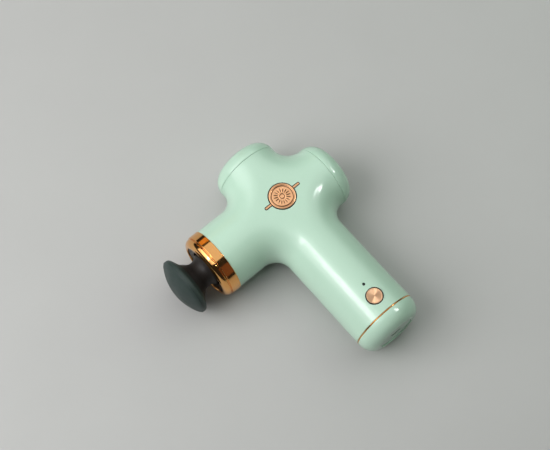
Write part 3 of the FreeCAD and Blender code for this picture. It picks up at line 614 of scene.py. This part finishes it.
def relief():
    """The badge's disc, with the sunburst cut into its face."""
    low, top = span("badge_disc", UP)
    around, radius, eps = 288, BADGE_R - BADGE_RIM, 0.02
    reach = [0.5, 0.9, 1.2, 1.4, 1.55, 1.7, 1.85, 2.05, 2.3, 2.5, 2.65, 2.8, 3.0, 3.4, 3.9, 4.4, 4.9, 5.3,
             5.55, 5.7, 5.85, 6.05, 6.25, 6.4, 6.55, 6.7, 6.85, 7.05, 7.25, 7.4, 7.55, radius]
    up = np.array(UP, float)
    spokes = spokes_about(up, around)

    def spot(r, turn):
        return np.array([r * math.cos(turn), r * math.sin(turn), top - RELIEF * sunburst(r, turn) - 0.02])

    def row(r):
        turns = [math.tau * j / around for j in range(around)]
        outs = [unit(np.cross(spot(r + eps, t) - spot(r - eps, t), spot(r, t + eps) - spot(r, t - eps)))
                for t in turns]
        return [spot(r, t) for t in turns], outs

    face = [([spot(0, 0)], [up] * around)] + [row(r) for r in reach]
    edge = face[-1][0]
    base = [np.array([*p[:2], low]) for p in edge]
    down = [-up] * around
    runs = [face, [(edge, spokes), (base, spokes)], [(base, down), ([low * up], down)]]
    piece("badge_relief", *rings(runs), "rose_gold_satin", "housing", "badge_disc")


def bar(name, side, grow, top, look, *nodes):
    """A thin bar beside the badge, round at its end and with rounded edges."""
    half, end = BAR_HALF + grow, BAR_TO + grow
    base = ARM_R + 0.005
    edge = min(0.15, (top - base) / 2)
    plan = [(BAR_FROM, -half), (end - half, -half)]
    plan += [(end - half + half * math.sin(math.radians(t)), -half * math.cos(math.radians(t)))
             for t in range(10, 180, 10)]
    plan = np.array(plan + [(end - half, half), (BAR_FROM, half)])
    middle = np.stack([np.minimum(plan[:, 0], end - half), 0 * plan[:, 0]], 1)
    outward = [unit(d) for d in (plan - middle) * [side, 1]]
    plan = plan * [side, 1]
    levels = [(0.0, base, 0.0)] + [(edge * (1 - math.cos(t)), top - edge * (1 - math.sin(t)), t)
                                   for t in np.radians([0, 30, 60, 90])]
    points = [np.append(p - d * inset, z) for inset, z, _ in levels for p, d in zip(plan, outward)]
    count = len(plan)
    faces, normals = [], []
    for k, (now, then) in enumerate(zip(levels, levels[1:])):
        for j in range(count):
            i = (j + 1) % count
            faces.append((k * count + j, k * count + i, (k + 1) * count + i, (k + 1) * count + j))
            if i == 0:
                normals.append([np.array([-side, 0.0, 0.0])] * 4)
            else:
                normals.append([np.append(outward[n] * math.cos(lean), math.sin(lean))
                                for n, lean in ((j, now[2]), (i, now[2]), (i, then[2]), (j, then[2]))])
    for first, up in ((0, -1.0), (count * (len(levels) - 1), 1.0)):
        for k in range(count // 2):
            far = count - 1 - k
            face = tuple(dict.fromkeys((first + k, first + k + 1, first + far - 1, first + far)))
            if len(face) > 2:
                faces.append(face)
                normals.append([np.array([0, 0, up])] * len(face))
    return piece(name, points, faces, normals, look, "housing", *nodes)


def gasket():
    """The dark gasket that shows as a thin line round the medallion and its bars."""
    lathe("badge_seal", [(ARM_R - 1.2, BADGE_R + 0.01), (ARM_R - 1.2, BADGE_R + GASKET),
                         (ARM_R + 0.01, BADGE_R + GASKET, 0.05), (ARM_R + 0.01, BADGE_R + 0.01)],
          UP, "seal_rubber", "housing", "badge_gasket", around=160)
    for way, side in (("right", 1), ("left", -1)):
        bar(f"bar_{way}", side, 0.0, ARM_R + 0.35, "rose_gold_satin")
        bar(f"bar_seal_{way}", side, GASKET, ARM_R + 0.05, "seal_rubber")


# ---- materials ----------------------------------------------------------------------------
LINES_PER_UNIT = 0.314          # wave texture scale that gives one line per unit of length


class Look:
    """A material whose colour, roughness and fine relief come from procedural textures."""

    def __init__(self, name, colour, rough, metal=0.0, **more):
        self.mat = bpy.data.materials.new(name)
        self.mat.use_nodes = True
        self.tree = self.mat.node_tree
        self.bsdf = self.tree.nodes["Principled BSDF"]
        self.colour, self.rough, self.bumped = (*colour, 1.0), rough, None
        self.set("Base Color", self.colour)
        self.set("Roughness", rough)
        self.set("Metallic", metal)
        for key, value in more.items():
            self.set(key.replace("_", " "), value)
        self.coords = self.tree.nodes.new("ShaderNodeTexCoord").outputs["Object"]

    def set(self, key, value):
        self.bsdf.inputs[key].default_value = value

    def link(self, out, into):
        self.tree.links.new(out, into)

    def noise(self, size_mm, detail=3.0, stretch=(1, 1, 1)):
        mapping = self.tree.nodes.new("ShaderNodeMapping")
        mapping.inputs["Scale"].default_value = [s / (size_mm * MM) for s in stretch]
        self.link(self.coords, mapping.inputs["Vector"])
        noise = self.tree.nodes.new("ShaderNodeTexNoise")
        noise.inputs["Scale"].default_value = 1.0
        noise.inputs["Detail"].default_value = detail
        self.link(mapping.outputs[0], noise.inputs["Vector"])
        return noise.outputs[0]

    def lines(self, size_mm, way="X", rings=None):
        """Fine parallel lines, or rings about an axis through a point."""
        mapping = self.tree.nodes.new("ShaderNodeMapping")
        if rings is not None:
            mapping.inputs["Location"].default_value = [-c for c in rings]
        self.link(self.coords, mapping.inputs["Vector"])
        wave = self.tree.nodes.new("ShaderNodeTexWave")
        wave.wave_type = "BANDS" if rings is None else "RINGS"
        if rings is None:
            wave.bands_direction = way
        else:
            wave.rings_direction = way
        wave.inputs["Scale"].default_value = LINES_PER_UNIT / (size_mm * MM)
        wave.inputs["Distortion"].default_value = 0.6
        wave.inputs["Detail"].default_value = 1.0
        self.link(mapping.outputs[0], wave.inputs["Vector"])
        return wave.outputs["Fac"]

    def cells(self, size_mm):
        voronoi = self.tree.nodes.new("ShaderNodeTexVoronoi")
        voronoi.inputs["Scale"].default_value = 1 / (size_mm * MM)
        self.link(self.coords, voronoi.inputs["Vector"])
        return voronoi.outputs["Distance"]

    def ranged(self, source, low, high, from_low=0.3, from_high=0.7):
        node = self.tree.nodes.new("ShaderNodeMapRange")
        for key, value in zip(("From Min", "From Max", "To Min", "To Max"), (from_low, from_high, low, high)):
            node.inputs[key].default_value = value
        self.link(source, node.inputs["Value"])
        return node.outputs[0]

    def tint(self, source, other, low=0.0, high=1.0, from_low=0.3, from_high=0.7):
        """Moves the colour towards another where a texture is high."""
        mix = self.tree.nodes.new("ShaderNodeMix")
        mix.data_type = "RGBA"
        socket = self.bsdf.inputs["Base Color"]
        if socket.is_linked:
            self.link(socket.links[0].from_socket, mix.inputs[6])
        else:
            mix.inputs[6].default_value = self.colour
        mix.inputs[7].default_value = (*other, 1.0)
        self.link(self.ranged(source, low, high, from_low, from_high), mix.inputs[0])
        self.link(mix.outputs[2], socket)
        return self

    def gloss(self, source, low, high, from_low=0.3, from_high=0.7):
        self.link(self.ranged(source, low, high, from_low, from_high), self.bsdf.inputs["Roughness"])
        return self

    def relief(self, source, depth_mm, strength=1.0):
        bump = self.tree.nodes.new("ShaderNodeBump")
        bump.inputs["Strength"].default_value = strength
        bump.inputs["Distance"].default_value = depth_mm * MM
        self.link(source, bump.inputs["Height"])
        if self.bumped is not None:
            self.link(self.bumped, bump.inputs["Normal"])
        self.bumped = bump.outputs[0]
        self.link(self.bumped, self.bsdf.inputs["Normal"])
        return self


LOOKS = {}


def mint():
    """Glossy moulded plastic: a faint flow of shade, soft smudges and a slight orange peel."""
    look = Look("mint_shell", (0.515, 0.735, 0.585), 0.16, Coat_Weight=0.3, Coat_Roughness=0.5)
    look.tint(look.noise(28), (0.53, 0.745, 0.60), 0.0, 0.8)
    look.tint(look.noise(0.9, 2), (0.49, 0.71, 0.56), 0.0, 0.35)
    look.gloss(look.noise(11, 4), 0.13, 0.19)
    look.relief(look.noise(2.6, 1), 0.004, 0.35)
    return look.mat


def rose_gold():
    """Polished metal: a faint cloud in the tone, hairlines round it and small dust marks."""
    look = Look("rose_gold", (0.93, 0.49, 0.175), 0.08, 1.0)
    look.tint(look.noise(9), (0.88, 0.43, 0.14), 0.0, 0.7)
    look.gloss(look.noise(3.5, 5), 0.06, 0.15)
    look.relief(look.noise(0.5, 2, (14, 1, 1)), 0.002, 0.1)
    return look.mat


def rose_gold_satin():
    """The same metal with a satin skin, and painted shade down in its grooves."""
    look = Look("rose_gold_satin", (0.93, 0.53, 0.29), 0.34, 1.0)
    look.tint(look.noise(4), (0.89, 0.48, 0.24), 0.0, 0.7)
    # painted shade: the colour goes dark below the badge's face, down in the sunburst's grooves
    axes = look.tree.nodes.new("ShaderNodeSeparateXYZ")
    look.link(look.coords, axes.inputs[0])
    face = HUB[2] + span("badge_disc", UP)[1] * MM
    look.tint(axes.outputs["Z"], (0.10, 0.035, 0.015), 1.0, 0.0, face - RELIEF * MM, face - 0.3 * RELIEF * MM)
    look.gloss(look.noise(1.5, 4), 0.30, 0.42)
    look.relief(look.noise(0.25, 2), 0.003, 0.3)
    return look.mat


def rose_gold_spun():
    """Metal turned on a lathe: fine rings and highlights that fan out from the middle."""
    look = Look("rose_gold_spun", (0.86, 0.53, 0.33), 0.34, 1.0, Anisotropic=0.9)
    tangent = look.tree.nodes.new("ShaderNodeTangent")
    tangent.direction_type = "RADIAL"
    tangent.axis = "Z"
    look.link(tangent.outputs[0], look.bsdf.inputs["Tangent"])
    centre = [HUB[0], HUB[1] + BUTTON_AT[1] * MM, 0]
    look.tint(look.noise(3.0), (0.82, 0.52, 0.29), 0.0, 0.6)
    look.gloss(look.noise(2.0, 2), 0.34, 0.42)
    look.relief(look.lines(0.3, "Z", centre), 0.002, 0.1)
    return look.mat


def silicone():
    """Dark soft rubber: a satin skin with a fine grain, darker and warmer at the neck, from painted shade and a
    painted reflection of the gold ring.
    """
    look = Look("silicone", (0.025, 0.040, 0.036), 0.5, Specular_IOR_Level=0.35)
    look.tint(look.noise(14), (0.032, 0.050, 0.045), 0.0, 0.9)
    axes = look.tree.nodes.new("ShaderNodeSeparateXYZ")
    look.link(look.coords, axes.inputs[0])
    tip = HUB[0] - span("head_pad", ARMS["nose"])[1] * MM
    neck_from, neck_to = tip + 11.3 * MM, tip + 13.2 * MM
    # painted shade and painted reflection of the gold ring: the neck's colour goes darker and browner
    look.tint(axes.outputs["X"], (0.019, 0.0155, 0.0135), 0.0, 1.0, neck_from, neck_to)
    look.tint(look.noise(0.45, 1), (0.10, 0.11, 0.105), 0.0, 0.3, 0.68, 0.78)
    look.gloss(look.noise(5, 4), 0.42, 0.56)
    look.relief(look.noise(0.35, 2), 0.006, 0.3)
    return look.mat


def plain_looks():
    """The rest: slot, colour, second colour, metal, roughness from and to, grain size, grain depth, kind."""
    table = [
        ("seal_rubber", (0.012, 0.012, 0.012), (0.03, 0.03, 0.03), 0, 0.55, 0.75, 0.5, 0.01, "noise"),
        ("black_plastic", (0.010, 0.009, 0.009), (0.022, 0.019, 0.018), 0, 0.22, 0.38, 0.3, 0.006, "noise"),
        ("nylon", (0.02, 0.02, 0.021), (0.045, 0.045, 0.045), 0, 0.4, 0.6, 0.4, 0.012, "cells"),
        ("light_pipe", (0.004, 0.004, 0.005), (0.008, 0.008, 0.008), 0, 0.45, 0.55, 1.0, 0.002, "noise"),
        ("cast_frame", (0.42, 0.43, 0.44), (0.30, 0.31, 0.32), 1, 0.42, 0.62, 0.7, 0.03, "cells"),
        ("steel", (0.30, 0.30, 0.31), (0.20, 0.20, 0.21), 1, 0.22, 0.36, 0.15, 0.003, "lines"),
        ("bearing_steel", (0.62, 0.62, 0.64), (0.50, 0.50, 0.52), 1, 0.10, 0.20, 0.12, 0.002, "lines"),
        ("screw_steel", (0.03, 0.03, 0.032), (0.08, 0.075, 0.07), 1, 0.35, 0.5, 0.3, 0.006, "noise"),
        ("crank_steel", (0.34, 0.34, 0.35), (0.24, 0.24, 0.25), 1, 0.25, 0.42, 0.2, 0.005, "lines"),
        ("bronze", (0.50, 0.30, 0.10), (0.36, 0.20, 0.07), 1, 0.35, 0.55, 0.35, 0.01, "cells"),
        ("lamination", (0.16, 0.16, 0.18), (0.30, 0.29, 0.28), 1, 0.35, 0.5, 0.35, 0.03, "sheets"),
        ("copper", (0.62, 0.22, 0.07), (0.40, 0.11, 0.03), 1, 0.15, 0.35, 0.3, 0.06, "lines"),
        ("magnet", (0.48, 0.48, 0.49), (0.38, 0.38, 0.40), 1, 0.18, 0.3, 0.5, 0.004, "noise"),
        ("cell_wrap", (0.02, 0.10, 0.32), (0.03, 0.14, 0.40), 0, 0.15, 0.3, 3.0, 0.02, "noise"),
        ("tab", (0.55, 0.55, 0.53), (0.42, 0.41, 0.38), 1, 0.25, 0.4, 0.2, 0.004, "lines"),
        ("board", (0.008, 0.09, 0.035), (0.015, 0.14, 0.055), 0, 0.25, 0.4, 1.2, 0.01, "cells"),
        ("chip", (0.014, 0.014, 0.015), (0.03, 0.03, 0.03), 0, 0.45, 0.6, 0.2, 0.006, "noise"),
        ("connector", (0.70, 0.67, 0.58), (0.60, 0.57, 0.48), 0, 0.3, 0.45, 0.6, 0.006, "noise"),
        ("wire", (0.35, 0.02, 0.015), (0.25, 0.012, 0.01), 0, 0.3, 0.45, 0.5, 0.008, "noise"),
    ]
    for name, colour, other, metal, smooth, rough, size, depth, kind in table:
        look = Look(name, colour, smooth, float(metal), Specular_IOR_Level=0.25)
        grain = {"noise": lambda: look.noise(size, 2), "cells": lambda: look.cells(size),
                 "lines": lambda: look.noise(size, 2, (12, 1, 12)),
                 "sheets": lambda: look.lines(size, "Y")}[kind]()
        look.tint(look.noise(6.0), other)
        look.gloss(look.noise(2.0, 4), smooth, rough)
        look.relief(grain, depth, 0.5)
        LOOKS[name] = look.mat


def make_looks():
    plain_looks()
    LOOKS.update(mint_shell=mint(), rose_gold=rose_gold(), rose_gold_satin=rose_gold_satin(),
                 rose_gold_spun=rose_gold_spun(), silicone=silicone())
    for part in frame["record"]["subparts"]:
        node = frame["nodes"][part["node"]]
        node.data.materials.clear()
        node.data.materials.append(LOOKS[part["material_slot"]])


# ---- stage --------------------------------------------------------------------------------
def panel(name, size, radiance, at, colour=(1, 1, 1), down=False, turn=0.0, diffuse=True, glossy=True):
    """A soft rectangular light at a place over the crossing, facing it or straight down."""
    light = bpy.data.lights.new(name, "AREA")
    light.shape = "RECTANGLE"
    light.size, light.size_y = size
    light.energy = radiance * math.pi * size[0] * size[1]
    light.color = colour
    made = bpy.data.objects.new(name, light)
    bpy.context.scene.collection.objects.link(made)
    back = np.array(UP, float) if down else unit(at)
    right = unit(np.cross((0, 1, 0), back))
    up = np.cross(back, right)
    facing = Matrix((right, up, back)).transposed() @ Matrix.Rotation(math.radians(turn), 3, "Z")
    made.matrix_world = Matrix.Translation(Vector(HUB + np.array(at))) @ facing.to_4x4()
    made.visible_diffuse = diffuse
    made.visible_glossy = glossy


def stage():
    """The pale floor and the soft lights."""
    world = bpy.data.worlds.new("studio")
    world.use_nodes = True
    world.node_tree.nodes["Background"].inputs[0].default_value = (0.025, 0.025, 0.025, 1)
    bpy.context.scene.world = world
    mesh = bpy.data.meshes.new("floor")
    half = 2.5
    corners = [(-half, -half, 0), (half, -half, 0), (half, half, 0), (-half, half, 0)]
    mesh.from_pydata(corners, [], [(0, 1, 2, 3)])
    floor = bpy.data.objects.new("floor", mesh)
    bpy.context.scene.collection.objects.link(floor)
    look = Look("floor", (0.462, 0.462, 0.452), 0.6)
    look.tint(look.noise(60), (0.472, 0.472, 0.462))
    look.relief(look.noise(1.0), 0.02, 0.1)
    mesh.materials.append(look.mat)
    # name, size, radiance, place; diffuse lights shape the body, glossy ones make its reflections
    panel("main", (1.0, 1.0), 3.8, (-0.90, 0.36, 0.82), glossy=False)
    panel("side", (0.8, 0.8), 0.85, (0.85, -0.25, 0.60), (0.7, 1.0, 0.75), glossy=False)
    panel("top", (3.2, 1.35), 1.0, (0.0, 0.375, 0.95), down=True, glossy=False)
    panel("sheen", (1.1, 1.1), 1.2, (-0.62, 0.53, 0.84), diffuse=False)
    panel("ceiling", (3.2, 1.35), 0.8, (0.0, 0.375, 0.94), down=True, diffuse=False)
    panel("strip_wide", (0.66, 0.20), 0.9, (-0.70, 0.15, 0.930), down=True, diffuse=False)
    panel("strip_core", (0.50, 0.15), 7.5, (-0.71, 0.155, 0.925), down=True, diffuse=False)
    panel("streak", (0.24, 0.85), 0.8, (-0.54, 0.10, 0.920), down=True, diffuse=False)
    panel("spark", (0.08, 0.36), 26.0, (0.68, -0.33, 0.915), down=True, turn=5, diffuse=False)
    panel("glint", (0.14, 0.09), 60.0, (0.80, -0.47, 0.910), down=True, diffuse=False)
    panel("card", (0.24, 0.42), 0.7, (0.20, 0.87, 0.43), (1.0, 0.5, 0.1), diffuse=False)
    panel("ember", (1.2, 0.7), 0.12, (0.20, -0.90, 0.50), (1.0, 0.42, 0.2), diffuse=False)


def camera():
    """The viewpoint, high over the side of the nose and the handle."""
    azimuth, elevation, roll = (math.radians(a) for a in (-41.65, 69.13, 1.07))
    distance, focal_mm, shift = 0.83388, 82.989, (-0.00449, -0.01053)
    back = Vector((math.sin(azimuth) * math.cos(elevation), -math.cos(azimuth) * math.cos(elevation),
                   math.sin(elevation)))
    level = Vector((math.cos(azimuth), math.sin(azimuth), 0))
    rise = back.cross(level)
    right = math.cos(roll) * level + math.sin(roll) * rise
    up = math.cos(roll) * rise - math.sin(roll) * level
    lens = bpy.data.cameras.new("camera")
    lens.sensor_width = 36
    lens.lens = focal_mm
    eye = bpy.data.objects.new("camera", lens)
    bpy.context.scene.collection.objects.link(eye)
    turn = Matrix((right, up, back)).transposed().to_4x4()
    turn.translation = Vector(HUB) + back * distance + right * shift[0] + up * shift[1]
    eye.matrix_world = turn
    bpy.context.scene.camera = eye


make_looks()
half_shell("shell_upper", True, "upper_housing")
half_shell("shell_lower", False, "lower_housing")
plugs()
lobe("rear", "rear_cap")
lobe("top", "top_cap")
handle_end()
nose()
controls()
badge()
stage()
camera()
bpy.context.scene.view_settings.view_transform = "Standard"
